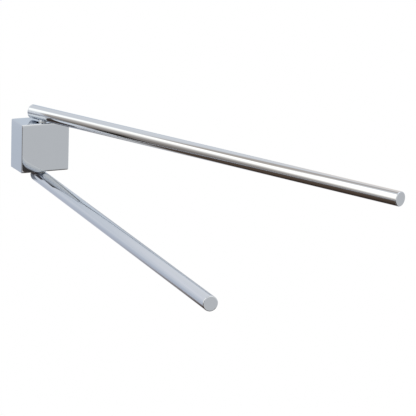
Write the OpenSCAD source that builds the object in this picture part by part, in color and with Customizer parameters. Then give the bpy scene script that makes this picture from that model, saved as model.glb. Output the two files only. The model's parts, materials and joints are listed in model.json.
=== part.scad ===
// Swing arm towel bar: a hollow square wall block with two round bars that
// turn on upright pivots, one over the block and one under it.
// Millimetres, +Z up. The wall is the plane y = 0 and the room is on its -Y side.
// The origin is the middle of the wall plate's back face.

/* [Block] */
// Width of the block along the wall
block_w = 51; // [46:1:70]
// Height of the block
block_h = 50; // [50:1:80]
// Depth of the block, out from the wall
block_d = 29; // [27:0.5:45]
// Thickness of the two side walls
side_wall = 3.5; // [2.5:0.5:5]
// Thickness of the front wall
front_wall = 3.5; // [2.5:0.1:3.9]
// Thickness of the top and bottom walls, which carry the pivots
pivot_wall = 5; // [4:0.5:7]
// Rounding of the block's outer edges
block_edge_r = 0.8; // [0.4:0.1:1.5]

/* [Wall plate] */
// Thickness of the wall plate
plate_t = 3; // [2:0.5:4]
// Gap between the wall plate and the walls of the block round it
plate_gap = 0.3; // [0.2:0.1:0.6]
// Distance between the two wall screw holes
screw_spacing = 26; // [20:1:28]
// Diameter of the wall screw holes
screw_hole_d = 5; // [4:0.5:6]
// Width of the plate's upper and lower tongues
tongue_w = 18; // [12:1:20]
// Thickness of the two tongues
tongue_t = 2.5; // [2:0.5:3]
// Free space between the two tongues and the washers round a pivot
tongue_gap = 4; // [3:0.5:5]
// Height of the hooked lip on the upper tongue
lip_h = 1.2; // [0.8:0.1:1.5]
// Thickness of the hooked lip
lip_t = 2; // [1.5:0.5:2.5]

/* [Grub screw] */
// Thread diameter of the grub screw that locks the block on its plate
grub_d = 4; // [3:0.5:5]
// Distance from the wall to the grub screw
grub_out = 7; // [6:0.5:8]
// Width across the flats of its hexagon socket
grub_socket = 2; // [1.5:0.5:2]
// Depth of its hexagon socket
grub_socket_depth = 2.2; // [1.5:0.1:3]
// How far the screw's end lies inside the block's underside
grub_recess = 0.4; // [0.2:0.1:1]
// Free space between the lower tongue and the bottom wall
tongue_lift = 1; // [0.5:0.5:2]

/* [Bars] */
// Outside diameter of the bars
bar_d = 14; // [12:0.5:16]
// Wall thickness of the bar tubes
bar_wall = 1; // [0.8:0.1:1.5]
// Whole length of a bar, from end to end
bar_l = 461; // [300:1:600]
// Length of a bar behind its pivot axis
bar_tail = 15; // [14:0.5:16]
// Free height between the block and a bar
bar_gap = 1; // [0.8:0.1:3]
// Turn of the upper bar from straight out, towards +X
upper_swing = 24; // [-90:1:90]
// Turn of the lower bar from straight out, towards +X
lower_swing = -3; // [-90:1:90]

/* [End caps] */
// Thickness of the cap's face
cap_t = 1.5; // [1.2:0.1:2.5]
// Length of the cap's spigot inside the tube
cap_spigot = 4; // [3:0.5:6]
// Wall thickness of the spigot
cap_spigot_wall = 1.2; // [1:0.1:2]
// Rounding of the cap's outer edge
cap_edge_r = 0.8; // [0.4:0.1:1.1]
// Gap round the spigot and round the anchor, inside the tube
tube_fit = 0.05; // [0.02:0.01:0.1]
// Gap between the rear cap's spigot and the anchor
anchor_gap = 0.3; // [0.1:0.1:1]

/* [Pivots] */
// Gap between the inner washers and the front wall
front_gap = 0.5; // [0.3:0.1:2]
// Diameter of the pivot post between the block and the bar
post_d = 8; // [7:0.5:8.5]
// Diameter of the post's journal, which turns in the bush
journal_d = 6; // [5.5:0.1:6.4]
// Gap round the journal in its bush
running_gap = 0.05; // [0.02:0.01:0.1]
// Diameter of the threaded ends of the post
thread_d = 5; // [4:0.1:5.2]
// Gap round a screw thread in its hole
thread_gap = 0.05; // [0.02:0.01:0.1]
// Depth of the threaded hole beyond the seat in the anchor
anchor_thread_depth = 6; // [4:0.5:7]
// Length of the anchor past the pivot axis, towards the bar's tip
anchor_reach = 14; // [9:0.5:30]
// How far the post's neck goes into the bar
post_sink = 3.2; // [2.5:0.1:4]
// Outside diameter of the bush's sleeve
bush_d = 8; // [7.4:0.1:8.5]
// Outside diameter of the bush's flange and of the inner washers
washer_d = 10; // [9.5:0.1:10]
// Thickness of the bush's flange
flange_t = 1; // [0.5:0.1:1.5]
// Thickness of the thrust washer between the block and the post
thrust_t = 0.5; // [0.3:0.1:0.7]
// Thickness of the flat washer
washer_t = 1; // [0.8:0.1:1.2]

/* [Wave washer] */
// Height of the wave washer as it is fitted
wave_h = 1.1; // [0.8:0.1:1.4]
// Thickness of its sheet
wave_sheet = 0.3; // [0.2:0.05:0.4]
// Number of its waves
wave_count = 3; // [2:1:4]
// Gap above and below the wave washer
wave_gap = 0.05; // [0.02:0.01:0.1]

/* [Lock nut] */
// Width across the flats of the lock nut
nut_flats = 8; // [8:0.1:8.5]
// Height of the nut's hexagon
nut_h = 3.6; // [3:0.1:4]
// Height of the nut's round collar, which holds the nylon ring
nut_collar_h = 1.4; // [1:0.1:1.8]
// Wall thickness of the nut's collar
nut_collar_wall = 0.6; // [0.4:0.1:0.7]
// How far the thread shows past the nut
thread_show = 1.2; // [0.5:0.1:2]

/* [Hidden] */
$fn = 96;
// Overrun of every cut past the faces that it opens
cut = 1;
// Sides of the circle that rounds a cap's edge, and steps in one wave of the wave washer
edge_sides = 48;
wave_steps = 24;
// Chamfer of a thread's end, as a share of its diameter
chamfer_share = 0.1;

// Sizes of the hollow inside the block
hollow_w = block_w - 2 * side_wall;
hollow_h = block_h - 2 * pivot_wall;
hollow_d = block_d - front_wall;

// Distance from the wall to the two pivots
pivot_out = hollow_d - front_gap - washer_d / 2;
// Reach of the wall plate's two tongues, out from the wall
tongue_reach = pivot_out - washer_d / 2 - tongue_gap;

// Heights along a pivot, counted out from the block's top or bottom face
seat_u = bar_gap + post_sink;
bar_axis_u = bar_gap + bar_d / 2;
flange_u = -pivot_wall - flange_t;
wave_u = flange_u - wave_gap - wave_h;
shoulder_u = wave_u - wave_gap;
washer_u = shoulder_u - washer_t;
nut_u = washer_u - nut_h - nut_collar_h;
post_end_u = nut_u - thread_show;

// Small radii and gaps that follow the sizes above
bore_d = bar_d - 2 * bar_wall;
plug_d = bore_d - 2 * tube_fit;
post_hole_d = post_d + 2 * tube_fit;
thread_hole_d = thread_d + 2 * thread_gap;
journal_hole_d = journal_d + 2 * running_gap;
nut_collar_d = nut_flats;
thread_chamfer = thread_d * chamfer_share;
grub_chamfer = grub_d * chamfer_share;

// Places along a bar, counted from its pivot axis towards its tip
tip_s = bar_l - bar_tail;
anchor_back_s = cap_t + cap_spigot + anchor_gap - bar_tail;

// A rectangle with round corners, centred
module round_rect(w, h, r) {
    square([w - 2 * r, h], center = true);
    square([w, h - 2 * r], center = true);
    for (x = [-1, 1], y = [-1, 1]) translate([x * (w / 2 - r), y * (h / 2 - r)]) circle(r = r);
}

// A solid of revolution from rows of [radius, height], closed along its axis
module turned(rows) {
    rotate_extrude() polygon(concat([[0, rows[0][1]]], rows, [[0, rows[len(rows) - 1][1]]]));
}

// A flat ring
module ring(outer_d, inner_d, h) {
    difference() {
        cylinder(d = outer_d, h = h);
        translate([0, 0, -cut]) cylinder(d = inner_d, h = h + 2 * cut);
    }
}

// Puts what is drawn round a pivot, with heights from the block's face, over or under the block
module at_pivot(side) {
    mirror([0, 0, side < 0 ? 1 : 0]) translate([0, -pivot_out, block_h / 2]) children();
}

// Puts what turns with a bar at its pivot, with +X along the bar towards its tip
module on_arm(side) {
    at_pivot(side) rotate([0, 0, (side < 0 ? lower_swing : upper_swing) - 90]) children();
}

// The outer form of the block, with its back on the wall and its edges rounded
module block_form() {
    r = block_edge_r;
    translate([0, -block_d / 2, 0]) intersection() {
        linear_extrude(height = block_h, center = true) translate([0, r / 2]) round_rect(block_w, block_d + r, r);
        rotate([90, 0, 0]) linear_extrude(height = block_d, center = true) round_rect(block_w, block_h, r);
        rotate([90, 0, 90]) linear_extrude(height = block_w, center = true)
            translate([r / 2, 0]) round_rect(block_d + r, block_h, r);
    }
}

module block_cover() {
    groove_y = tongue_reach + plate_gap;
    color("silver") difference() {
        block_form();
        // The hollow, open at the wall
        translate([-hollow_w / 2, -hollow_d, -hollow_h / 2]) cube([hollow_w, hollow_d + cut, hollow_h]);
        // The bush holes
        for (side = [-1, 1]) at_pivot(side) translate([0, 0, -pivot_wall - cut])
            cylinder(d = bush_d, h = pivot_wall + 2 * cut);
        // The groove for the hooked lip
        translate([-tongue_w / 2 - plate_gap, -groove_y, hollow_h / 2 - cut])
            cube([tongue_w + 2 * plate_gap, lip_t + 2 * plate_gap, lip_h + plate_gap + cut]);
        // The grub screw's hole
        translate([0, -grub_out, -block_h / 2 - cut])
            cylinder(d = grub_d + 2 * thread_gap, h = pivot_wall + 2 * cut);
    }
}

module wall_plate() {
    plate_w = hollow_w - 2 * plate_gap;
    plate_h = hollow_h - 2 * plate_gap;
    color("gray") difference() {
        union() {
            translate([-plate_w / 2, -plate_t, -plate_h / 2]) cube([plate_w, plate_t, plate_h]);
            // The upper tongue lies against the top wall and hooks into its groove
            translate([-tongue_w / 2, -tongue_reach, hollow_h / 2 - tongue_t])
                cube([tongue_w, tongue_reach, tongue_t]);
            translate([-tongue_w / 2, -tongue_reach, hollow_h / 2 - tongue_t])
                cube([tongue_w, lip_t, tongue_t + lip_h]);
            // The lower tongue takes the thrust of the grub screw
            translate([-tongue_w / 2, -tongue_reach, tongue_lift - hollow_h / 2])
                cube([tongue_w, tongue_reach, tongue_t]);
        }
        for (side = [-1, 1]) translate([side * screw_spacing / 2, cut, 0]) rotate([90, 0, 0])
            cylinder(d = screw_hole_d, h = plate_t + 2 * cut);
    }
}

module grub_screw() {
    screw_l = pivot_wall + tongue_lift - grub_recess;
    color("dimgray") translate([0, -grub_out, grub_recess - block_h / 2]) difference() {
        turned([[grub_d / 2 - grub_chamfer, 0], [grub_d / 2, grub_chamfer],
            [grub_d / 2, screw_l - grub_chamfer], [grub_d / 2 - grub_chamfer, screw_l]]);
        translate([0, 0, -cut]) cylinder(r = grub_socket / sqrt(3), h = grub_socket_depth + cut, $fn = 6);
    }
}

// The flanged bush that lines a pivot hole, with its flange inside the block
module bush(side) {
    color("ivory") at_pivot(side) difference() {
        union() {
            translate([0, 0, -pivot_wall]) cylinder(d = bush_d, h = pivot_wall);
            translate([0, 0, flange_u]) cylinder(d = washer_d, h = flange_t);
        }
        translate([0, 0, flange_u - cut]) cylinder(d = journal_hole_d, h = pivot_wall + flange_t + 2 * cut);
    }
}

// The thin washer that the post turns on
module thrust_washer(side) {
    color("whitesmoke") on_arm(side) ring(post_d, journal_hole_d, thrust_t);
}

// The turned post: threaded end in the block, journal, neck, threaded end in the bar
module pivot_post(side) {
    color("silver") on_arm(side) turned([
        [thread_d / 2 - thread_chamfer, post_end_u], [thread_d / 2, post_end_u + thread_chamfer],
        [thread_d / 2, shoulder_u], [journal_d / 2, shoulder_u],
        [journal_d / 2, thrust_t], [post_d / 2, thrust_t],
        [post_d / 2, seat_u], [thread_d / 2, seat_u],
        [thread_d / 2, seat_u + anchor_thread_depth - 2 * thread_chamfer],
        [thread_d / 2 - thread_chamfer, seat_u + anchor_thread_depth - thread_chamfer]]);
}

// The solid plug inside the tube that the post screws into
module pivot_anchor(side) {
    color("darkgoldenrod") on_arm(side) difference() {
        translate([anchor_back_s, 0, bar_axis_u]) rotate([0, 90, 0])
            cylinder(d = plug_d, h = anchor_reach - anchor_back_s);
        cylinder(d = post_hole_d, h = seat_u);
        cylinder(d = thread_hole_d, h = seat_u + anchor_thread_depth);
    }
}

module bar_tube(side) {
    color("silver") on_arm(side) difference() {
        translate([cap_t - bar_tail, 0, bar_axis_u]) rotate([0, 90, 0])
            ring(bar_d, bore_d, bar_l - 2 * cap_t);
        cylinder(d = post_hole_d, h = bar_axis_u);
    }
}

// An end cap, with its face outwards along +Z and its seat on the tube at height zero
module cap() {
    spigot_bore_d = plug_d - 2 * cap_spigot_wall;
    r = cap_edge_r;
    difference() {
        union() {
            intersection() {
                cylinder(d = bar_d, h = cap_t);
                union() {
                    cylinder(d = bar_d, h = cap_t - r);
                    rotate_extrude() translate([bar_d / 2 - r, cap_t - r]) circle(r = r, $fn = edge_sides);
                    cylinder(d = bar_d - 2 * r, h = cap_t);
                }
            }
            translate([0, 0, -cap_spigot]) cylinder(d = plug_d, h = cap_spigot);
        }
        translate([0, 0, -cap_spigot - cut]) cylinder(d = spigot_bore_d, h = cap_spigot + cut);
    }
}

module front_cap(side) {
    color("silver") on_arm(side) translate([tip_s - cap_t, 0, bar_axis_u]) rotate([0, 90, 0]) cap();
}

module rear_cap(side) {
    color("silver") on_arm(side) translate([cap_t - bar_tail, 0, bar_axis_u]) rotate([0, -90, 0]) cap();
}

// The wave washer: a ring whose height follows a sine round its axis
module wave_washer(side) {
    steps = wave_steps * wave_count;
    swell = (wave_h - wave_sheet) / 2;
    inner = journal_d / 2 + thread_gap;
    outer = washer_d / 2;
    // Four points a step: inner low, outer low, outer high, inner high
    points = [for (i = [0 : steps - 1], k = [0 : 3])
        let (a = 360 * i / steps, r = k == 0 || k == 3 ? inner : outer, h = k < 2 ? 0 : wave_sheet)
        [r * cos(a), r * sin(a), h + swell * (1 + sin(wave_count * a))]];
    faces = [for (i = [0 : steps - 1], k = [0 : 3], half = [0, 1])
        let (a = 4 * i, b = 4 * ((i + 1) % steps), n = (k + 1) % 4)
        half == 0 ? [a + k, b + k, b + n] : [a + k, b + n, a + n]];
    color("lightsteelblue") on_arm(side) translate([0, 0, wave_u]) polyhedron(points, faces);
}

module flat_washer(side) {
    color("lightgray") on_arm(side) translate([0, 0, washer_u]) ring(washer_d, thread_hole_d, washer_t);
}

// The lock nut: a hexagon against the washer, and a collar that holds the nylon ring
module lock_nut(side) {
    color("lightslategray") on_arm(side) translate([0, 0, nut_u]) difference() {
        union() {
            translate([0, 0, nut_collar_h]) cylinder(r = nut_flats / sqrt(3), h = nut_h, $fn = 6);
            cylinder(d = nut_collar_d, h = nut_collar_h);
        }
        translate([0, 0, -cut]) cylinder(d = thread_hole_d, h = nut_h + nut_collar_h + 2 * cut);
        translate([0, 0, -cut]) cylinder(d = nut_collar_d - 2 * nut_collar_wall, h = nut_collar_h + cut);
    }
}

module nut_ring(side) {
    color("royalblue") on_arm(side) translate([0, 0, nut_u])
        ring(nut_collar_d - 2 * nut_collar_wall, thread_hole_d, nut_collar_h);
}

block_cover();
wall_plate();
grub_screw();
bush(1);  // upper_bush
bush(-1);  // lower_bush
thrust_washer(1);  // upper_thrust_washer
pivot_post(1);  // upper_pivot_post
pivot_anchor(1);  // upper_pivot_anchor
bar_tube(1);  // upper_bar_tube
rear_cap(1);  // upper_rear_cap
front_cap(1);  // upper_front_cap
wave_washer(1);  // upper_wave_washer
flat_washer(1);  // upper_flat_washer
lock_nut(1);  // upper_lock_nut
nut_ring(1);  // upper_nut_ring
thrust_washer(-1);  // lower_thrust_washer
pivot_post(-1);  // lower_pivot_post
pivot_anchor(-1);  // lower_pivot_anchor
bar_tube(-1);  // lower_bar_tube
rear_cap(-1);  // lower_rear_cap
front_cap(-1);  // lower_front_cap
wave_washer(-1);  // lower_wave_washer
flat_washer(-1);  // lower_flat_washer
lock_nut(-1);  // lower_lock_nut
nut_ring(-1);  // lower_nut_ring
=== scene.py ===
import json
import math

import bmesh
import bpy
import numpy as np
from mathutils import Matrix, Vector


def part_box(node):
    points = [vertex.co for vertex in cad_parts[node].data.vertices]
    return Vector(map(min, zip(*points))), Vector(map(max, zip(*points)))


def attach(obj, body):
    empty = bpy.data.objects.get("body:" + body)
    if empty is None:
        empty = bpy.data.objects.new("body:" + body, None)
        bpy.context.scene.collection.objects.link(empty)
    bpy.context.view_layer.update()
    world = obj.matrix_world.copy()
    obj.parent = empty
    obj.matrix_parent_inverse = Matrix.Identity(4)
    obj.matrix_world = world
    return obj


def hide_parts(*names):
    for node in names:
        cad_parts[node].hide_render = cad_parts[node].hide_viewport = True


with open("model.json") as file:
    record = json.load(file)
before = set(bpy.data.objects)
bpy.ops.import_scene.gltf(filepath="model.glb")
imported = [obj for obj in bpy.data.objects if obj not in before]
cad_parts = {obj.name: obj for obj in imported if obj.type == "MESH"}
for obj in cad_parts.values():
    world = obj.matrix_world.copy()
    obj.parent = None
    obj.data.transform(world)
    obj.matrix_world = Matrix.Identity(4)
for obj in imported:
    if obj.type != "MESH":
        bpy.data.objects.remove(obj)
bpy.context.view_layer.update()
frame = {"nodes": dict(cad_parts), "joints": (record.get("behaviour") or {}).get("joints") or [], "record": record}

mm = 0.001
joints = {joint["name"]: joint for joint in frame["joints"]}
slotOf = {part["node"]: part["material_slot"] for part in frame["record"]["subparts"]}
scene = bpy.context.scene

# The photograph's view, worked out from the block's and the bars' outlines
camera = {
    "azimuth": -25.99,
    "elevation": 15.14,
    "roll": 1.99,
    "aim": (0.12277, -0.15396, -0.04104),
    "distance": 2.56,
    "lens": 224.64,
    "sensor": 36.0,
    "clip": (0.05, 60.0),
}


def placeCamera(look):
    data = bpy.data.cameras.new("viewCamera")
    data.lens = look["lens"]
    data.sensor_width = look["sensor"]
    data.clip_start, data.clip_end = look["clip"]
    azimuth, elevation, roll = (math.radians(look[name]) for name in ("azimuth", "elevation", "roll"))
    away = Vector((
        math.sin(azimuth) * math.cos(elevation),
        -math.cos(azimuth) * math.cos(elevation),
        math.sin(elevation),
    ))
    holder = bpy.data.objects.new("viewCamera", data)
    holder.location = Vector(look["aim"]) + away * look["distance"]
    turn = (-away).to_track_quat("-Z", "Y").to_matrix()
    right, up = turn.col[0].copy(), turn.col[1].copy()
    turn.col[0] = right * math.cos(roll) + up * math.sin(roll)
    turn.col[1] = up * math.cos(roll) - right * math.sin(roll)
    holder.rotation_mode = "QUATERNION"
    holder.rotation_quaternion = turn.to_quaternion()
    scene.collection.objects.link(holder)
    scene.camera = holder


placeCamera(camera)
print("camera placed")


# One socket of a node tree: arithmetic on it adds Math nodes, and node() adds any other node
class Wire:
    def __init__(self, tree, socket=None):
        self.tree = tree
        self.socket = socket

    def node(self, kind, settings, inputs, output=0):
        made = self.tree.nodes.new(kind)
        for name, value in settings.items():
            if name == "stops":
                ramp = made.color_ramp
                while len(ramp.elements) < len(value):
                    ramp.elements.new(0.5)
                for element, (place, colour) in zip(ramp.elements, value):
                    element.position = place
                    element.color = colour
            else:
                setattr(made, name, value)
        for name, value in inputs.items():
            if isinstance(value, Wire):
                self.tree.links.new(value.socket, made.inputs[name])
            else:
                made.inputs[name].default_value = value
        return Wire(self.tree, None if output is None else made.outputs[output])

    def maths(self, operation, first, second):
        return self.node("ShaderNodeMath", {"operation": operation}, {0: first, 1: second})

    def __add__(self, other):
        return self.maths("ADD", self, other)

    def __radd__(self, other):
        return self.maths("ADD", other, self)

    def __sub__(self, other):
        return self.maths("SUBTRACT", self, other)

    def __rsub__(self, other):
        return self.maths("SUBTRACT", other, self)

    def __mul__(self, other):
        return self.maths("MULTIPLY", self, other)

    def __rmul__(self, other):
        return self.maths("MULTIPLY", other, self)


def blankMaterial(name):
    material = bpy.data.materials.new(name)
    material.use_nodes = True
    material.node_tree.nodes.clear()
    return material, Wire(material.node_tree)


def closeMaterial(start, shader):
    start.node("ShaderNodeOutputMaterial", {}, {"Surface": shader}, None)


# Every finish: two close tints in soft clouds, a roughness that follows a fine grain, and a ripple of the
# surface made of both. Waviness and graininess are the ripple's heights in millimetres.
finishLooks = {
    "chrome": {
        "metallic": 1.0, "tints": ((0.56, 0.595, 0.645), (0.57, 0.605, 0.655)), "roughness": (0.015, 0.035),
        "cloudScale": 60.0, "grainScale": 900.0, "waviness": 0.0015, "graininess": 0.0,
    },
    "plated_steel": {
        "metallic": 1.0, "tints": ((0.5, 0.5, 0.49), (0.58, 0.585, 0.6)), "roughness": (0.26, 0.42),
        "cloudScale": 90.0, "grainScale": 2200.0, "waviness": 0.004, "graininess": 0.006,
    },
    "screw_steel": {
        "metallic": 1.0, "tints": ((0.3, 0.3, 0.31), (0.38, 0.38, 0.385)), "roughness": (0.25, 0.4),
        "cloudScale": 200.0, "grainScale": 3000.0, "waviness": 0.002, "graininess": 0.004,
    },
    "spring_steel": {
        "metallic": 1.0, "tints": ((0.38, 0.38, 0.39), (0.46, 0.46, 0.47)), "roughness": (0.22, 0.34),
        "cloudScale": 250.0, "grainScale": 2600.0, "waviness": 0.002, "graininess": 0.003,
    },
    "brass": {
        "metallic": 1.0, "tints": ((0.62, 0.44, 0.18), (0.7, 0.52, 0.24)), "roughness": (0.2, 0.34),
        "cloudScale": 150.0, "grainScale": 1800.0, "waviness": 0.002, "graininess": 0.004,
    },
    "nylon": {
        "metallic": 0.0, "tints": ((0.78, 0.77, 0.72), (0.84, 0.83, 0.79)), "roughness": (0.4, 0.55),
        "cloudScale": 220.0, "grainScale": 2400.0, "waviness": 0.0, "graininess": 0.004,
    },
    "nut_nylon": {
        "metallic": 0.0, "tints": ((0.05, 0.14, 0.42), (0.07, 0.18, 0.5)), "roughness": (0.38, 0.5),
        "cloudScale": 300.0, "grainScale": 2400.0, "waviness": 0.0, "graininess": 0.003,
    },
}


noiseDetail = {"clouds": 3.0, "grain": 2.0}


def makeFinish(name, look):
    material, start = blankMaterial(name)
    place = start.node("ShaderNodeTexCoord", {}, {}, "Object")
    clouds = start.node("ShaderNodeTexNoise", {}, {
        "Vector": place, "Scale": look["cloudScale"], "Detail": noiseDetail["clouds"],
    })
    grain = start.node("ShaderNodeTexNoise", {}, {
        "Vector": place, "Scale": look["grainScale"], "Detail": noiseDetail["grain"],
    })
    first, second = look["tints"]
    tint = start.node(
        "ShaderNodeMix", {"data_type": "RGBA"}, {0: clouds, 6: (*first, 1.0), 7: (*second, 1.0)}, 2,
    )
    ripple = start.node(
        "ShaderNodeBump", {},
        {"Height": clouds * look["waviness"] + grain * look["graininess"], "Strength": 1.0, "Distance": mm},
    )
    low, high = look["roughness"]
    shader = start.node("ShaderNodeBsdfPrincipled", {}, {
        "Base Color": tint, "Metallic": look["metallic"],
        "Roughness": low + grain * (high - low), "Normal": ripple,
    })
    closeMaterial(start, shader)
    return material


finishes = {name: makeFinish(name, look) for name, look in finishLooks.items()}
for nodeName, cadNode in frame["nodes"].items():
    cadNode.data.materials.clear()
    cadNode.data.materials.append(finishes[slotOf[nodeName]])
print("finishes made")

# Facets round a turned form, the distance under which points are one, and the angle of a sharp edge
mesh = {"barSegments": 192, "smallSegments": 128, "cutterSegments": 96, "merge": 0.001 * mm, "sharp": 30.0}


def smooth(piece, sharpAngle=mesh["sharp"]):
    piece.data.polygons.foreach_set("use_smooth", np.ones(len(piece.data.polygons), bool))
    piece.data.set_sharp_from_angle(angle=math.radians(sharpAngle))
    piece.data.update()


# A mesh object from arrays of points and faces, with doubles merged and faces turned outwards
def makePiece(name, points, faces):
    data = bpy.data.meshes.new(name)
    data.from_pydata(points.tolist(), [], faces)
    shape = bmesh.new()
    shape.from_mesh(data)
    bmesh.ops.remove_doubles(shape, verts=shape.verts, dist=mesh["merge"])
    bmesh.ops.recalc_face_normals(shape, faces=shape.faces)
    shape.to_mesh(data)
    shape.free()
    piece = bpy.data.objects.new(name, data)
    scene.collection.objects.link(piece)
    smooth(piece)
    return piece


# Quads of a grid of rows by columns of points; a closed direction joins its last line to its first
def gridFaces(rows, columns, closedRows=False, closedColumns=False, offset=0):
    i = np.arange(rows if closedRows else rows - 1)[:, None]
    j = np.arange(columns if closedColumns else columns - 1)[None, :]
    nextRow, nextColumn = (i + 1) % rows, (j + 1) % columns
    quads = np.stack([
        i * columns + j, i * columns + nextColumn,
        nextRow * columns + nextColumn, nextRow * columns + j,
    ], axis=-1)
    return (quads.reshape(-1, 4) + offset).tolist()


# Points of a round corner, as (height, radius) rows: centre + r (cos a, sin a) from one angle to the other
def corner(height, radius, r, fromDegrees, toDegrees, steps):
    a = np.radians(np.linspace(fromDegrees, toDegrees, steps))
    return np.stack([height + r * np.cos(a), radius + r * np.sin(a)], axis=1)


# Single rows and arrays of rows as one array
def joinRows(rows):
    return np.concatenate([np.atleast_2d(part) for part in rows])


# A turned form: each profile row (height, radius) becomes the ring
# origin + height * axis + radius * (cos a * sideways + sin a * upwards), a from 0 to 360 degrees
def turned(name, profile, origin, axis, segments, closed=False):
    rows = joinRows(profile)
    axis = np.array(axis, float)
    helper = np.array((0.0, 0.0, 1.0)) if abs(axis[2]) < 0.9 else np.array((1.0, 0.0, 0.0))
    sideways = np.cross(axis, helper)
    sideways /= np.linalg.norm(sideways)
    upwards = np.cross(sideways, axis)
    a = np.linspace(0.0, 2.0 * np.pi, segments, endpoint=False)
    ring = np.cos(a)[:, None] * sideways + np.sin(a)[:, None] * upwards
    points = np.array(origin) + rows[:, 0, None, None] * axis + rows[:, 1, None, None] * ring
    faces = gridFaces(len(rows), segments, closedRows=closed, closedColumns=True)
    return makePiece(name, points.reshape(-1, 3), faces)


# A form round an upright axis whose height and radius may change with the angle: each entry of the two
# arrays, rows by angles, becomes base + (radius cos a, radius sin a, side * height), a from 0 to 360 degrees
def upright(name, height, radius, base, side, closed=False):
    a = np.linspace(0.0, 2.0 * np.pi, radius.shape[1], endpoint=False)
    x, y, z = base
    points = np.stack([x + radius * np.cos(a), y + radius * np.sin(a), z + side * height], axis=-1)
    faces = gridFaces(*radius.shape, closedRows=closed, closedColumns=True)
    return makePiece(name, points.reshape(-1, 3), faces)


# Takes the cutters out of a piece, which is left as a plain mesh without modifiers
def cutAway(piece, cutters):
    for cutter in cutters:
        modifier = piece.modifiers.new("cut", "BOOLEAN")
        modifier.operation = "DIFFERENCE"
        modifier.solver = "EXACT"
        modifier.object = cutter
    bpy.context.view_layer.update()
    done = bpy.data.meshes.new_from_object(piece.evaluated_get(bpy.context.evaluated_depsgraph_get()))
    piece.modifiers.clear()
    old = piece.data
    piece.data = done
    bpy.data.meshes.remove(old)
    for cutter in cutters:
        bpy.data.objects.remove(cutter)


# A box from its low corner to its high one: eight corners and six faces
def boxCutter(low, high):
    corners = np.array([[(low, high)[i][0], (low, high)[j][1], (low, high)[k][2]]
                        for i in (0, 1) for j in (0, 1) for k in (0, 1)])
    faces = [(0, 1, 3, 2), (4, 6, 7, 5), (0, 4, 5, 1), (2, 3, 7, 6), (0, 2, 6, 4), (1, 5, 7, 3)]
    return makePiece("boxCutter", corners, faces)


# A round pin that starts at the origin and runs along the axis
def pinCutter(origin, axis, radius, length):
    profile = [(0.0, 0.0), (0.0, radius), (length, radius), (length, 0.0)]
    return turned("pinCutter", profile, origin, axis, mesh["cutterSegments"])


# A piece is named after the node that it replaces: upper_bar_tube gives upperBarTube
def pieceName(node):
    first, *others = node.split("_")
    return first + "".join(word.title() for word in others)


def finish(piece, body, node):
    piece.data.materials.append(finishes[slotOf[node]])
    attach(piece, body)
    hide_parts(node)


# What turns with a bar: its direction, its pivot and its nodes' places, all from the frame
class Arm:
    def __init__(self, level):
        joint = joints[level + "_swing"]
        low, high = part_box(level + "_bar_tube")
        self.level = level
        self.body = level + "_arm"
        self.swing = math.radians(-sum(joint["range_deg"]) / 2)
        self.along = np.array((math.sin(self.swing), -math.cos(self.swing), 0.0))
        self.radius = (high.z - low.z) / 2
        self.pivot = np.array(joint["pos_m"], float)
        self.centre = np.array((self.pivot[0], self.pivot[1], (high.z + low.z) / 2))
        self.side = math.copysign(1.0, self.centre[2])
        self.outward = np.array((0.0, 0.0, self.side))

    # The stretch that a node takes up along the bar, counted from the pivot
    def span(self, part):
        data = frame["nodes"][self.level + "_" + part].data
        places = np.zeros(len(data.vertices) * 3, np.float32)
        data.vertices.foreach_get("co", places)
        reach = (places.reshape(-1, 3) - self.centre) @ self.along
        return float(reach.min()), float(reach.max())

    # The two heights of a node, counted away from the block's face
    def heights(self, part):
        low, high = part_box(self.level + "_" + part)
        ends = sorted(((low.z - self.pivot[2]) * self.side, (high.z - self.pivot[2]) * self.side))
        return ends[0], ends[1]


arms = [Arm("upper"), Arm("lower")]

# Sizes that two or more pieces share: the hole for the post's neck, how far that neck goes into the bar, the
# bore round an inner thread and the radius of a bush's sleeve
shared = {"postHole": 4.05 * mm, "postSink": 3.2 * mm, "threadBore": 2.55 * mm, "bushRadius": 4.0 * mm}
bar = {"wall": 1.0 * mm, "endBreak": 0.06 * mm, "support": 0.12 * mm, "holeMargin": 6.0 * mm}
cap = {
    "edge": 0.8 * mm, "crown": 0.04 * mm, "backBreak": 0.06 * mm, "spigotLength": 4.0 * mm,
    "spigotRadius": 5.95 * mm, "spigotWall": 1.2 * mm, "crownRows": 8, "edgeRows": 14,
}


# The tube: outer wall, both ends with a tiny broken edge, inner wall; the loop of the profile is turned about
# the bar's axis, and the wall that faces the block is drilled for the post
def barTube(arm):
    node = arm.level + "_bar_tube"
    start, end = arm.span("bar_tube")
    r, broken, inner, margin = arm.radius, bar["endBreak"], arm.radius - bar["wall"], bar["holeMargin"]
    profile = [
        (start, inner), (start, r - broken), (start + broken, r), (start + bar["support"], r),
        (-margin, r), (margin, r), (end - bar["support"], r), (end - broken, r), (end, r - broken),
        (end, inner), (margin, inner), (-margin, inner),
    ]
    piece = turned(pieceName(node), profile, arm.centre, arm.along, mesh["barSegments"], closed=True)
    depth = abs(arm.centre[2] - arm.pivot[2])
    cutAway(piece, [pinCutter(arm.pivot, arm.outward, shared["postHole"], depth)])
    smooth(piece)
    finish(piece, arm.body, node)


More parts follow.
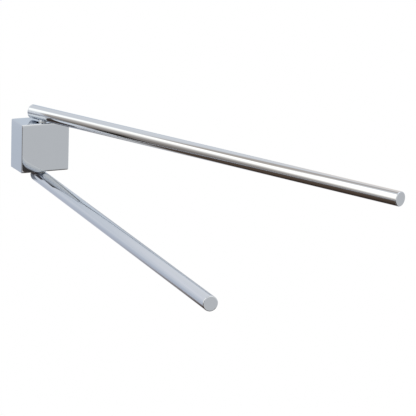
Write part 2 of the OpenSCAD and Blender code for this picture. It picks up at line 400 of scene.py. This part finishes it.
# A cap: a face crowned by crown * (radius share squared), a round edge, a broken back edge, and a hollow
# spigot inside the tube, turned about the bar's axis
def endCap(arm, part, facing):
    node = arm.level + "_" + part
    low, high = arm.span(part)
    face = high if facing > 0 else low
    seat = face - facing * (high - low - cap["spigotLength"])
    r, e = arm.radius, cap["edge"]
    thick = abs(face - seat)
    inner = cap["spigotRadius"] - cap["spigotWall"]
    flat = np.linspace(0.0, 1.0, cap["crownRows"])
    crown = np.stack([thick - cap["crown"] * flat ** 2, flat * (r - e)], axis=1)
    profile = [
        crown[:-1], corner(thick - e - cap["crown"], r - e, e, 0.0, 90.0, cap["edgeRows"]),
        (cap["backBreak"], r), (0.0, r - cap["backBreak"]), (0.0, cap["spigotRadius"]),
        (-cap["spigotLength"], cap["spigotRadius"]), (-cap["spigotLength"], inner), (0.0, inner), (0.0, 0.0),
    ]
    origin = arm.centre + arm.along * seat
    piece = turned(pieceName(node), profile, origin, arm.along * facing, mesh["barSegments"])
    finish(piece, arm.body, node)


for arm in arms:
    barTube(arm)
    endCap(arm, "front_cap", 1)
    endCap(arm, "rear_cap", -1)
print("bars made")

block = {
    "edge": 0.8 * mm, "wall": 3.5 * mm, "pivotWall": 5.0 * mm, "grubRadius": 2.05 * mm,
    "lipHalfWidth": 9.0 * mm, "lipThickness": 2.0 * mm, "plateGap": 0.3 * mm, "overrun": 1.0 * mm,
    "sink": 0.12 * mm, "sinkReach": 7.0 * mm, "sinkPower": 3, "edgePower": 8,
    "edgeLines": 9, "marginLines": 11, "marginSpread": 1.4, "middleLines": 6, "sharp": 20.0,
}


# Lines across a face: close together in the round edge, wider in the sunk margin, few in the flat middle
def faceLines(half):
    edge, margin = block["edge"], block["sinkReach"]
    spread = np.linspace(0.0, 1.0, block["marginLines"])[1:] ** block["marginSpread"]
    outer = half - np.linspace(0.0, edge, block["edgeLines"])
    inner = half - edge - (margin - edge) * spread
    middle = np.linspace(half - margin, 0.0, block["middleLines"])[1:]
    positive = np.concatenate([outer, inner, middle])
    return np.concatenate([-positive[:-1], positive[::-1]])


# The outer skin of the block. A point p of the plain box goes to q + edge * (p - q) / |p - q|, where q is p
# drawn back to the box that is smaller by the edge radius. Near the edges the faces sink a little, as hand
# polishing leaves them: every point moves in by sink * w(own axis) * (m(second axis) + m(third axis)). Here
# w is (distance from the middle / half the box) to the edgePower, and m is 1 at the box's side, falls to 0
# over the sinkReach and is taken to the sinkPower.
def blockSkin(centre, half):
    edge = block["edge"]
    lines = [faceLines(h) for h in half]
    points, faces = [], []
    for axis in range(3):
        u, v = [k for k in range(3) if k != axis]
        for side in (-1.0, 1.0):
            if axis == 1 and side > 0:  # the back is closed later
                continue
            grid = np.zeros((len(lines[u]), len(lines[v]), 3))
            grid[..., axis] = side * half[axis]
            grid[..., u] = lines[u][:, None]
            grid[..., v] = lines[v][None, :]
            faces += gridFaces(len(lines[u]), len(lines[v]), offset=sum(len(part) for part in points))
            points.append(grid.reshape(-1, 3))
    p = np.concatenate(points)
    small = half - edge
    q = np.clip(p, -small, small)
    q[:, 1] = np.clip(p[:, 1], -small[1], half[1])  # the edge at the wall is left square
    away = p - q
    away /= np.linalg.norm(away, axis=1)[:, None]
    p = q + edge * away
    margin = np.clip(1.0 - (half - np.abs(p)) / block["sinkReach"], 0.0, 1.0) ** block["sinkPower"]
    margin[:, 1] = np.where(p[:, 1] > 0, 0.0, margin[:, 1])
    weight = (np.abs(p) / half) ** block["edgePower"]
    sink = block["sink"] * weight * (margin.sum(axis=1)[:, None] - margin)
    sink[:, 1] = np.where(p[:, 1] > 0, 0.0, sink[:, 1])
    return p - np.sign(p) * sink + centre, faces


# The block: its skin closed at the back, less the hollow, the lip's groove, the bush holes and the screw hole
def wallBlock():
    low, high = (np.array(side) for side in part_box("block_cover"))
    skin = makePiece(pieceName("block_cover"), *blockSkin((low + high) / 2, (high - low) / 2))
    shape = bmesh.new()
    shape.from_mesh(skin.data)
    bmesh.ops.holes_fill(shape, edges=[edge for edge in shape.edges if edge.is_boundary])
    bmesh.ops.recalc_face_normals(shape, faces=shape.faces)
    shape.to_mesh(skin.data)
    shape.free()
    over, gap = block["overrun"], block["plateGap"]
    hollowLow = low + np.array((block["wall"], block["wall"], block["pivotWall"]))
    hollowHigh = high - np.array((block["wall"], -over, block["pivotWall"]))
    plateLow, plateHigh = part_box("wall_plate")
    lip = block["lipHalfWidth"] + gap
    grooveLow = (-lip, plateLow.y - gap, hollowHigh[2] - over)
    grooveHigh = (lip, plateLow.y + block["lipThickness"] + gap, plateHigh.z + gap)
    x, y = joints["upper_swing"]["pos_m"][:2]
    grubLow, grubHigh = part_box("grub_screw")
    screw = (grubLow + grubHigh) / 2
    deep = block["pivotWall"] + 2 * over
    cutAway(skin, [
        boxCutter(hollowLow, hollowHigh),
        boxCutter(grooveLow, grooveHigh),
        pinCutter((x, y, high[2] + over), (0, 0, -1), shared["bushRadius"], deep),
        pinCutter((x, y, low[2] - over), (0, 0, 1), shared["bushRadius"], deep),
        pinCutter((screw.x, screw.y, low[2] - over), (0, 0, 1), block["grubRadius"], deep),
    ])
    smooth(skin, block["sharp"])
    finish(skin, "block", "block_cover")


wallBlock()
print("block made")

post = {
    "neck": 4.0 * mm, "journal": 3.0 * mm, "thread": 2.5 * mm, "rootDepth": 0.4 * mm, "pitch": 0.8 * mm,
    "flank": 0.4, "stepsPerPitch": 12, "fillet": 0.25 * mm, "chamfer": 0.5 * mm, "easing": 0.15 * mm,
    "cornerRows": 6,
}


# A screw thread: radius = root + depth * tooth((height / pitch + angle / 360) modulo 1), where the tooth is a
# triangle with a flat top and the flank is the share of a pitch over which it rises; it runs out to the root
# over the last pitch at either end
def threadRows(bottom, top, look, segments):
    steps = int(round((top - bottom) / look["pitch"] * look["stepsPerPitch"]))
    height = np.linspace(bottom, top, steps)[:, None]
    angle = np.linspace(0.0, 1.0, segments, endpoint=False)[None, :]
    phase = (height / look["pitch"] + angle) % 1.0
    tooth = np.clip((0.5 - np.abs(phase - 0.5)) / look["flank"], 0.0, 1.0)
    fade = np.clip(np.minimum(height - bottom, top - height) / look["pitch"], 0.0, 1.0)
    radius = look["thread"] - look["rootDepth"] * (1.0 - tooth * fade)
    return np.broadcast_to(height, radius.shape), radius


# Rows (height, radius) that are the same at every angle
def plainRows(rows, segments):
    rows = joinRows(rows)
    return np.repeat(rows[:, :1], segments, 1), np.repeat(rows[:, 1:], segments, 1)


# The post: a thread in the nut, the journal, a filleted shoulder, the neck and a thread in the anchor, as
# rows of heights and radii round the pivot
def pivotPost(arm):
    node = arm.level + "_pivot_post"
    start, end = arm.heights("pivot_post")
    face = arm.heights("thrust_washer")[1]
    shoulder = arm.heights("flat_washer")[1]
    seat = arm.heights("bar_tube")[0] + shared["postSink"]
    e, f, neck, journal = post["easing"], post["fillet"], post["neck"], post["journal"]
    root = post["thread"] - post["rootDepth"]
    segments = mesh["smallSegments"]
    parts = [
        plainRows([(start, 0.0), (start, root - e), (start + e, root)], segments),
        threadRows(start + post["chamfer"], shoulder - e, post, segments),
        plainRows([
            (shoulder - e, root), (shoulder, root), (shoulder, journal - e), (shoulder + e, journal),
            (face - f, journal), (face, journal), (face, neck - e),
            corner(face + e, neck - e, e, 180.0, 90.0, post["cornerRows"])[1:],
            (seat - e, neck), (seat, neck - e), (seat, root),
        ], segments),
        threadRows(seat, end - post["chamfer"], post, segments),
        plainRows([(end - e, root), (end, root - e), (end, 0.0)], segments),
    ]
    height, radius = (np.concatenate(rows) for rows in zip(*parts))
    finish(upright(pieceName(node), height, radius, arm.pivot, arm.side), arm.body, node)


washer = {
    "bore": 3.05 * mm, "outer": 5.0 * mm, "flangeThickness": 1.0 * mm, "easing": 0.12 * mm,
    "cornerRows": 5, "clearance": 0.02 * mm,
}


# A ring with eased edges: a closed profile of inner and outer radius and two heights, turned about the pivot
def easedRing(arm, part, inner, outer, bottom, top, easing):
    node = arm.level + "_" + part
    e, rows = easing, washer["cornerRows"]
    profile = [
        (bottom, inner + e), (bottom, outer - e), corner(bottom + e, outer - e, e, 180.0, 90.0, rows)[1:-1],
        (bottom + e, outer), (top - e, outer), corner(top - e, outer - e, e, 90.0, 0.0, rows)[1:-1],
        (top, outer - e), (top, inner + e), (top - e, inner), (bottom + e, inner),
    ]
    piece = turned(pieceName(node), profile, arm.pivot, arm.outward, mesh["smallSegments"], closed=True)
    finish(piece, arm.body, node)


# The bush: a flange and a sleeve with a bore, a closed profile turned about the pivot
def bush(arm):
    node = arm.level + "_bush"
    bottom, top = arm.heights("bush")
    e, bore, outer, sleeve = washer["easing"], washer["bore"], washer["outer"], shared["bushRadius"]
    neck = bottom + washer["flangeThickness"]
    profile = [
        (bottom, bore + e), (bottom, outer - e), (bottom + e, outer), (neck - e, outer), (neck, outer - e),
        (neck, sleeve), (top - e, sleeve), (top, sleeve - e), (top, bore + e), (top - e, bore),
        (bottom + e, bore),
    ]
    piece = turned(pieceName(node), profile, arm.pivot, arm.outward, mesh["smallSegments"], closed=True)
    finish(piece, "block", node)


# It is lifted a hair off the block, so that the two don't lie in one plane where it turns
def thrustWasher(arm):
    bottom, top = arm.heights("thrust_washer")
    easedRing(arm, "thrust_washer", washer["bore"], post["neck"], bottom + washer["clearance"], top,
              washer["easing"])


def flatWasher(arm):
    bottom, top = arm.heights("flat_washer")
    easedRing(arm, "flat_washer", shared["threadBore"], washer["outer"], bottom, top, washer["easing"])


wave = {"count": 3, "sheet": 0.3 * mm, "edge": 0.05 * mm, "segments": 240}


# The wave washer: its section is a thin eased rectangle, lifted by swell * (1 + sin(count * angle))
def waveWasher(arm):
    node = arm.level + "_wave_washer"
    bottom, top = arm.heights("wave_washer")
    e, sheet, inner, outer = wave["edge"], wave["sheet"], washer["bore"], washer["outer"]
    swell = (top - bottom - sheet) / 2
    a = np.linspace(0.0, 2.0 * np.pi, wave["segments"], endpoint=False)
    section = np.array([
        (0.0, inner + e), (0.0, outer - e), (e, outer), (sheet - e, outer),
        (sheet, outer - e), (sheet, inner + e), (sheet - e, inner), (e, inner),
    ])
    height = bottom + section[:, :1] + swell * (1.0 + np.sin(wave["count"] * a))[None, :]
    radius = np.broadcast_to(section[:, 1:], height.shape)
    piece = upright(pieceName(node), height, radius, arm.pivot, arm.side, closed=True)
    finish(piece, arm.body, node)


nut = {
    "flats": 8.0 * mm, "collarHeight": 1.4 * mm, "collarWall": 0.6 * mm, "corner": 0.25 * mm,
    "easing": 0.12 * mm, "segments": 144,
}


# Distance from the middle of a hexagon to its side, at each angle: half the flats / cos(angle in its sixth)
def hexagon(angle, flats):
    sixth = np.pi / 3
    return flats / 2 / np.cos((angle + sixth / 2) % sixth - sixth / 2)


# The lock nut: a hexagon whose corners are turned down to a cone at both ends, then the round collar with
# its lip rolled in, and the bore. A row is a height, a radius and whether the radius only limits the hexagon.
def lockNut(arm):
    node = arm.level + "_lock_nut"
    bottom, top = arm.heights("lock_nut")
    e, cone, bore, collar = nut["easing"], nut["corner"], shared["threadBore"], nut["collarWall"]
    neck = bottom + nut["collarHeight"]
    low, high = nut["flats"] / 2, nut["flats"] / math.sqrt(3)
    rows = np.array([
        (top, bore + e, 0), (top, low - e, 0), (top - cone / 2, (low + high) / 2, 1), (top - cone, high, 1),
        (neck + cone, high, 1), (neck, (low + high) / 2, 1), (neck, low - e, 0), (bottom + e, low - e, 0),
        (bottom, low - 2 * e, 0), (bottom, low - collar, 0), (neck, low - collar, 0), (neck, bore, 0),
        (top - e, bore, 0),
    ])
    a = np.linspace(0.0, 2.0 * np.pi, nut["segments"], endpoint=False)
    six = hexagon(a + arm.swing, nut["flats"])[None, :]
    limit = rows[:, 1:2]
    radius = np.where(rows[:, 2:] > 0, np.minimum(six, limit), limit)
    height = np.broadcast_to(rows[:, :1], radius.shape)
    piece = upright(pieceName(node), height, radius, arm.pivot, arm.side, closed=True)
    finish(piece, arm.body, node)


def nutRing(arm):
    bottom, top = arm.heights("nut_ring")
    outer = nut["flats"] / 2 - nut["collarWall"]
    easedRing(arm, "nut_ring", shared["threadBore"], outer, bottom, top, nut["easing"])


anchor = {"threadDepth": 6.0 * mm, "easing": 0.2 * mm}


# The plug inside the tube that the post screws into: a round bar with eased ends, turned about the bar's
# axis, drilled across for the post's neck and then for its thread
def pivotAnchor(arm):
    node = arm.level + "_pivot_anchor"
    start, end = arm.span("pivot_anchor")
    low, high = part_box(node)
    r, e = (high.z - low.z) / 2, anchor["easing"]
    profile = [(start, 0.0), (start, r - e), (start + e, r), (end - e, r), (end, r - e), (end, 0.0)]
    piece = turned(pieceName(node), profile, arm.centre, arm.along, mesh["smallSegments"])
    seat = arm.heights("bar_tube")[0] + shared["postSink"]
    cutAway(piece, [
        pinCutter(arm.pivot, arm.outward, shared["postHole"], seat),
        pinCutter(arm.pivot, arm.outward, shared["threadBore"], seat + anchor["threadDepth"]),
    ])
    smooth(piece)
    finish(piece, arm.body, node)


for arm in arms:
    for part in (pivotPost, pivotAnchor, bush, thrustWasher, flatWasher, waveWasher, lockNut, nutRing):
        part(arm)
print("pivots made")

grub = {
    "thread": 2.0 * mm, "rootDepth": 0.25 * mm, "pitch": 0.7 * mm, "flank": 0.4, "stepsPerPitch": 12,
    "chamfer": 0.4 * mm, "socket": 2.0 * mm, "socketDepth": 2.2 * mm, "drillPoint": 0.5 * mm,
    "mouth": 0.15 * mm, "rim": 0.1 * mm, "endEasing": 0.1 * mm, "endInset": 0.3 * mm, "segments": 120,
}


# The grub screw: a hexagon socket that ends in a drill point, the lower rim, the thread and the upper end, as
# rows of heights and radii round the screw's axis
def grubScrew():
    low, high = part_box("grub_screw")
    segments, root = grub["segments"], grub["thread"] - grub["rootDepth"]
    a = np.linspace(0.0, 2.0 * np.pi, segments, endpoint=False)
    socket = hexagon(a, grub["socket"])[None, :]
    depth = low.z + grub["socketDepth"]
    mouth = grub["socket"] / math.sqrt(3) + grub["rim"]
    parts = [
        plainRows([(depth + grub["drillPoint"], 0.0)], segments),
        (np.full_like(socket, depth), socket),
        (np.full_like(socket, low.z + grub["mouth"]), socket),
        plainRows([(low.z, mouth), (low.z, root - grub["rim"])], segments),
        threadRows(low.z + grub["chamfer"], high.z - grub["chamfer"], grub, segments),
        plainRows([
            (high.z - grub["endEasing"], root), (high.z, root - grub["endInset"]), (high.z, 0.0),
        ], segments),
    ]
    height, radius = (np.concatenate(rows) for rows in zip(*parts))
    base = ((low.x + high.x) / 2, (low.y + high.y) / 2, 0.0)
    finish(upright(pieceName("grub_screw"), height, radius, base, 1.0), "block", "grub_screw")


grubScrew()

plate = {"bevel": 0.25 * mm, "bevelSegments": 3, "bevelAngle": 40.0, "flatAngle": 1.0}


# The wall plate: a copy of its node's mesh with doubles merged and flat faces joined, and its edges eased
def wallPlate():
    data = frame["nodes"]["wall_plate"].data.copy()
    shape = bmesh.new()
    shape.from_mesh(data)
    bmesh.ops.remove_doubles(shape, verts=shape.verts, dist=mesh["merge"])
    flat = math.radians(plate["flatAngle"])
    bmesh.ops.dissolve_limit(shape, angle_limit=flat, verts=shape.verts, edges=shape.edges)
    shape.to_mesh(data)
    shape.free()
    data.name = pieceName("wall_plate")
    data.materials.clear()
    piece = bpy.data.objects.new(pieceName("wall_plate"), data)
    scene.collection.objects.link(piece)
    bevel = piece.modifiers.new("easedEdges", "BEVEL")
    bevel.width = plate["bevel"]
    bevel.segments = plate["bevelSegments"]
    bevel.limit_method = "ANGLE"
    bevel.angle_limit = math.radians(plate["bevelAngle"])
    smooth(piece)
    finish(piece, "block", "wall_plate")


wallPlate()
print("wall plate and screw made")

studio = {
    "floorHeight": -1.0, "floorReach": 9.0, "floorColour": (1.0, 1.0, 1.0),
    "worldColour": (1.0, 1.0, 1.0), "worldStrength": 1.0,
}
alongX, alongY, alongZ = (1, 0, 0), (0, 1, 0), (0, 0, 1)
# The stops of both cards of the left wall
wallTones = (
    (-0.7, (0.25, 0.21, 0.18)), (-0.5, (0.31, 0.265, 0.225)), (-0.3, (0.47, 0.42, 0.37)),
    (-0.1, (0.64, 0.58, 0.52)), (0.04, (0.73, 0.66, 0.6)), (0.14, (1.02, 0.95, 0.87)),
    (0.24, (1.38, 1.29, 1.16)), (0.5, (1.95, 1.85, 1.65)),
)
# Flat cards that only reflections see, between two corners. A fade is a direction, the place along it where
# the card is gone and the place where it is whole. A card has one light, or stops of it along a direction.
cards = {
    "floorTone": {
        "low": (-9.0, -9.0, -0.998), "high": (9.0, 9.0, -0.998), "fades": (),
        "along": alongY, "stops": (
            (-9.0, (0.765, 0.757, 0.742)), (0.8, (0.765, 0.757, 0.742)), (1.03, (0.736, 0.733, 0.732)),
            (1.47, (0.61, 0.63, 0.69)), (1.7, (0.58, 0.605, 0.68)), (9.0, (0.58, 0.605, 0.68)),
        ),
    },
    "leftWall": {
        "low": (-1.22, -0.9, -0.6), "high": (-1.22, 1.0, 3.0),
        "fades": (
            (alongZ, -0.6, -0.5), (alongZ, 3.0, 2.1), ((0, 1, -0.22), 0.343, 0.335), (alongY, -0.9, -0.6),
        ),
        "along": (0, -1, 1), "stops": wallTones,
    },
    "leftWallFoot": {
        "low": (-1.221, -0.9, -0.6), "high": (-1.221, 0.4, 0.3),
        "fades": (
            (alongZ, -0.6, -0.5), (alongZ, 0.3, 0.2), (alongY, 0.381, 0.373), (alongY, -0.9, -0.6),
        ),
        "along": (0, -1, 1), "stops": wallTones,
    },
    "leftSoftbox": {
        "low": (-1.24, 0.3, 0.1), "high": (-1.24, 1.7, 2.2),
        "fades": ((alongZ, 0.2, 0.8), (alongZ, 2.1, 1.2), (alongY, 1.6, 0.8)),
        "along": alongZ, "stops": ((0.1, (1.65, 1.6, 1.5)), (2.2, (1.95, 1.88, 1.72))),
    },
    "frontStand": {
        "low": (-1.9, -1.5, -0.6), "high": (-0.2, -1.5, 0.82),
        "fades": ((alongX, -0.24, -0.6), (alongZ, 0.8, 0.44), (alongZ, -0.6, -0.5), (alongX, -1.9, -1.7)),
        "along": alongZ, "stops": ((-0.6, (0.12, 0.1, 0.09)), (0.82, (0.1, 0.085, 0.075))),
    },
    "darkTable": {
        "low": (-0.6, -1.0, -0.35), "high": (0.52, 0.28, -0.35),
        "fades": (((-0.15, 1, 0), 0.2, 0.1), (alongY, -1.0, -0.9), (alongX, -0.6, -0.45), (alongX, 0.5, 0.3)),
        "along": alongX, "stops": (
            (-0.6, (0.17, 0.135, 0.11)), (-0.35, (0.12, 0.085, 0.065)), (-0.2, (0.125, 0.085, 0.06)),
            (0.1, (0.06, 0.04, 0.03)), (0.5, (0.06, 0.04, 0.03)),
        ),
    },
    "sideTable": {
        "low": (-1.2, -1.0, -0.352), "high": (0.0, 0.4, -0.352),
        "fades": (((0.33, 1, 0), 0.01, -0.04), (alongY, -1.0, -0.9), (alongX, 0.0, -0.2)),
        "along": alongX, "stops": (
            (-1.2, (0.4, 0.36, 0.33)), (-0.65, (0.28, 0.245, 0.22)), (-0.35, (0.1, 0.075, 0.06)),
        ),
    },
    "tableEdge": {
        "low": (-1.2, -0.2, -0.351), "high": (-0.15, 0.45, -0.351),
        "fades": (((0.25, 1, 0), 0.055, 0.035), ((0.25, 1, 0), -0.03, 0.0), (alongX, -0.15, -0.3)),
        "along": alongX, "stops": (
            (-1.2, (0.03, 0.025, 0.02)), (-0.6, (0.03, 0.025, 0.02)), (-0.15, (0.09, 0.07, 0.06)),
        ),
    },
    "tableGlow": {
        "low": (-0.12, -0.46, -0.349), "high": (0.08, -0.28, -0.349), "light": (0.98, 0.97, 1.0),
        "fades": (
            (alongX, -0.12, -0.07), (alongX, 0.08, 0.03), (alongY, -0.46, -0.41), (alongY, -0.28, -0.33),
        ),
    },
    "tableLight": {
        "low": (-0.88, 0.12, -0.3495), "high": (-0.22, 0.45, -0.3495),
        "fades": (
            (alongX, -0.88, -0.8), (alongX, -0.24, -0.33), ((0.25, 1, 0), 0.055, 0.075), (alongY, 0.45, 0.38),
        ),
        "along": alongX, "stops": (
            (-1.0, (0.98, 1.03, 1.06)), (-0.55, (0.98, 1.02, 1.04)), (-0.42, (0.9, 0.92, 0.97)),
            (-0.3, (0.79, 0.78, 0.82)),
        ),
    },
    "edgeTail": {
        "low": (-1.22, 0.27, -0.3505), "high": (-0.84, 0.48, -0.3505),
        "fades": ((alongX, -0.84, -0.9), (alongY, 0.27, 0.29), (alongY, 0.48, 0.44)),
        "along": alongX, "stops": ((-1.22, (0.22, 0.2, 0.19)), (-0.84, (0.3, 0.28, 0.27))),
    },
    # Painted shade: a dark card behind the block, seen by the lower bar's tail as the shade under the block
    "tailShade": {
        "low": (-0.017, 0.006, -0.047), "high": (0.01, 0.006, -0.02),
        "fades": ((alongX, -0.017, -0.014), (alongX, 0.01, 0.006), (alongZ, -0.047, -0.043)),
        "along": alongZ, "stops": (
            (-0.047, (0.24, 0.26, 0.3)), (-0.036, (0.2, 0.21, 0.24)), (-0.031, (0.07, 0.06, 0.06)),
            (-0.02, (0.04, 0.03, 0.035)),
        ),
    },
    # Painted shade: the same dark card carried on at the corner, more of the shade under the block in the tail
    "tailCornerShade": {
        "low": (-0.026, 0.0061, -0.0325), "high": (-0.0155, 0.0061, -0.022),
        "fades": ((alongX, -0.026, -0.023), (alongZ, -0.0325, -0.0305), (alongZ, -0.022, -0.0235)),
        "along": alongZ, "stops": (
            (-0.0325, (0.3, 0.3, 0.32)), (-0.0285, (0.07, 0.065, 0.07)), (-0.022, (0.06, 0.055, 0.06)),
        ),
    },
    "frontRightCard": {
        "low": (-0.1, -1.5, -0.3), "high": (1.5, -1.5, 1.2), "light": (1.17, 1.13, 1.05),
        "fades": ((alongX, -0.1, 0.14), (alongX, 1.5, 1.2), (alongZ, -0.3, -0.15), (alongZ, 1.2, 0.9)),
    },
    "overheadLamp": {
        "low": (0.05, -0.85, 1.05), "high": (1.0, -0.02, 1.05), "light": (2.0, 2.0, 2.0),
        "fades": ((alongX, 0.05, 0.2), (alongX, 1.0, 0.85), (alongY, -0.85, -0.7), (alongY, -0.02, -0.14)),
    },
    "overheadStrip": {
        "low": (-0.95, 0.16, 1.05), "high": (0.75, 0.64, 1.05), "light": (0.66, 0.58, 0.51),
        "fades": ((alongY, 0.16, 0.32), (alongY, 0.59, 0.43), (alongX, -0.95, -0.75), (alongX, 0.75, 0.5)),
    },
    "rightBackCard": {
        "low": (0.2, 1.0, -0.6), "high": (1.1, 1.0, 0.24),
        "fades": ((alongZ, 0.16, -0.06), (alongZ, -0.6, -0.5), (alongX, 0.2, 0.4), (alongX, 1.1, 0.95)),
        "along": alongZ, "stops": (
            (-0.6, (0.62, 0.64, 0.7)), (-0.3, (0.64, 0.67, 0.74)), (-0.06, (0.76, 0.8, 0.88)),
        ),
    },
    "warmBackCard": {
        "low": (0.34, 0.37, 0.0), "high": (1.4, 0.37, 1.2), "light": (1.06, 0.96, 0.87),
        "fades": ((alongX, 0.34, 0.5), (alongX, 1.4, 1.2), (alongZ, 0.0, 0.12), (alongZ, 1.2, 1.0)),
    },
    "farBackdrop": {
        "low": (-4.0, 2.0, -1.0), "high": (4.0, 2.0, 1.6),
        "fades": ((alongZ, 1.6, 0.8), (alongX, -4.0, -3.0), (alongX, 4.0, 3.0)),
        "along": alongZ, "stops": (
            (-1.0, (0.6, 0.625, 0.7)), (-0.75, (0.67, 0.705, 0.79)), (-0.53, (0.7, 0.745, 0.81)),
            (-0.42, (0.75, 0.79, 0.86)), (-0.13, (0.85, 0.87, 0.92)), (0.18, (0.9, 0.92, 0.965)),
            (0.6, (0.98, 0.98, 1.02)), (1.6, (1.0, 1.0, 1.02)),
        ),
    },
    "edgeShade": {
        "low": (0.2, 0.355, -0.25), "high": (0.6, 0.355, 0.16), "light": (0.58, 0.6, 0.64),
        "fades": ((alongX, 0.2, 0.3), (alongX, 0.6, 0.5), (alongZ, -0.25, -0.15), (alongZ, 0.16, 0.06)),
    },
    "lowShade": {
        "low": (-0.6, 0.55, -0.7), "high": (0.4, 1.2, -0.7), "light": (0.3, 0.27, 0.26),
        "fades": ((alongY, 0.55, 0.7), (alongY, 1.2, 0.85), (alongX, -0.6, -0.4), (alongX, 0.4, 0.2)),
    },
    "cornerShade": {
        "low": (-1.21, -0.95, -0.6), "high": (-1.21, -0.28, -0.12), "light": (0.12, 0.1, 0.09),
        "fades": ((alongY, -0.3, -0.45), (alongZ, -0.14, -0.25)),
    },
    "blueBackCard": {
        "low": (-0.5, 0.36, -0.02), "high": (0.6, 0.36, 0.38),
        "fades": ((alongZ, 0.36, 0.2), (alongZ, 0.0, 0.1), (alongX, -0.5, -0.34), (alongX, 0.6, 0.4)),
        "along": (-0.8, 0, 1), "stops": (
            (0.1, (0.74, 0.8, 0.87)), (0.2, (0.785, 0.825, 0.88)), (0.3, (0.875, 0.9, 0.94)),
            (0.445, (1.02, 1.01, 1.04)),
        ),
    },
}


# How far a point of the surface lies along a direction: the dot product of its place with that direction
def placeAlong(start, direction):
    place = start.node("ShaderNodeTexCoord", {}, {}, "Object")
    return start.node(
        "ShaderNodeVectorMath", {"operation": "DOT_PRODUCT"}, {0: place, 1: direction}, "Value",
    )


# From 0 where a card is gone to 1 where it is whole, along a direction
def fadeAlong(start, direction, gone, whole):
    return start.node(
        "ShaderNodeMapRange", {"interpolation_type": "SMOOTHSTEP"},
        {"Value": placeAlong(start, direction), "From Min": gone, "From Max": whole},
    )


# The light of a card through its stops, spread over the stretch from the first stop to the last
def lightAlong(start, direction, stops):
    low, high = stops[0][0], stops[-1][0]
    ramp = [((place - low) / (high - low), (*colour, 1.0)) for place, colour in stops]
    share = (placeAlong(start, direction) - low) * (1.0 / (high - low))
    return start.node("ShaderNodeValToRGB", {"stops": ramp}, {0: share})


# The floor is white from above and open from below
def floorMaterial():
    material, start = blankMaterial("whiteFloor")
    plain = start.node("ShaderNodeBsdfDiffuse", {}, {"Color": (*studio["floorColour"], 1.0)})
    under = start.node("ShaderNodeBsdfTransparent", {}, {})
    fromBelow = start.node("ShaderNodeNewGeometry", {}, {}, "Backfacing")
    closeMaterial(start, start.node("ShaderNodeMixShader", {}, {0: fromBelow, 1: plain, 2: under}))
    return material


# A card glows where all its fades are whole, and is clear where one is gone
def cardMaterial(name, look):
    material, start = blankMaterial(name)
    mask = 1.0
    for direction, gone, whole in look["fades"]:
        mask = fadeAlong(start, direction, gone, whole) * mask
    if "light" in look:
        light = (*look["light"], 1.0)
    else:
        light = lightAlong(start, look["along"], look["stops"])
    glow = start.node("ShaderNodeEmission", {}, {"Color": light, "Strength": 1.0})
    clear = start.node("ShaderNodeBsdfTransparent", {}, {})
    closeMaterial(start, start.node("ShaderNodeMixShader", {}, {0: mask, 1: clear, 2: glow}))
    return material


# A flat rectangle between two corners that agree along one axis
def stagePlane(name, low, high, material, reflectionsOnly=False):
    flat = [axis for axis in range(3) if low[axis] == high[axis]][0]
    a, b = [axis for axis in range(3) if axis != flat]
    points = []
    for first, second in ((low[a], low[b]), (high[a], low[b]), (high[a], high[b]), (low[a], high[b])):
        point = list(low)
        point[a], point[b] = first, second
        points.append(point)
    data = bpy.data.meshes.new(name)
    data.from_pydata(points, [], [(0, 1, 2, 3)])
    data.materials.append(material)
    plane = bpy.data.objects.new(name, data)
    if reflectionsOnly:
        plane.visible_camera = plane.visible_shadow = plane.visible_diffuse = False
    scene.collection.objects.link(plane)


# The world is white to every ray
def makeWorld():
    world = bpy.data.worlds.new("studioWorld")
    world.use_nodes = True
    world.node_tree.nodes.clear()
    start = Wire(world.node_tree)
    light = start.node(
        "ShaderNodeBackground", {},
        {"Color": (*studio["worldColour"], 1.0), "Strength": studio["worldStrength"]},
    )
    start.node("ShaderNodeOutputWorld", {}, {"Surface": light}, None)
    scene.world = world


def lightStudio():
    reach, ground = studio["floorReach"], studio["floorHeight"]
    stagePlane("whiteFloor", (-reach, -reach, ground), (reach, reach, ground), floorMaterial())
    for name, look in cards.items():
        stagePlane(name, look["low"], look["high"], cardMaterial(name, look), True)


makeWorld()
lightStudio()
scene.view_settings.view_transform = "Standard"
print("studio lit")
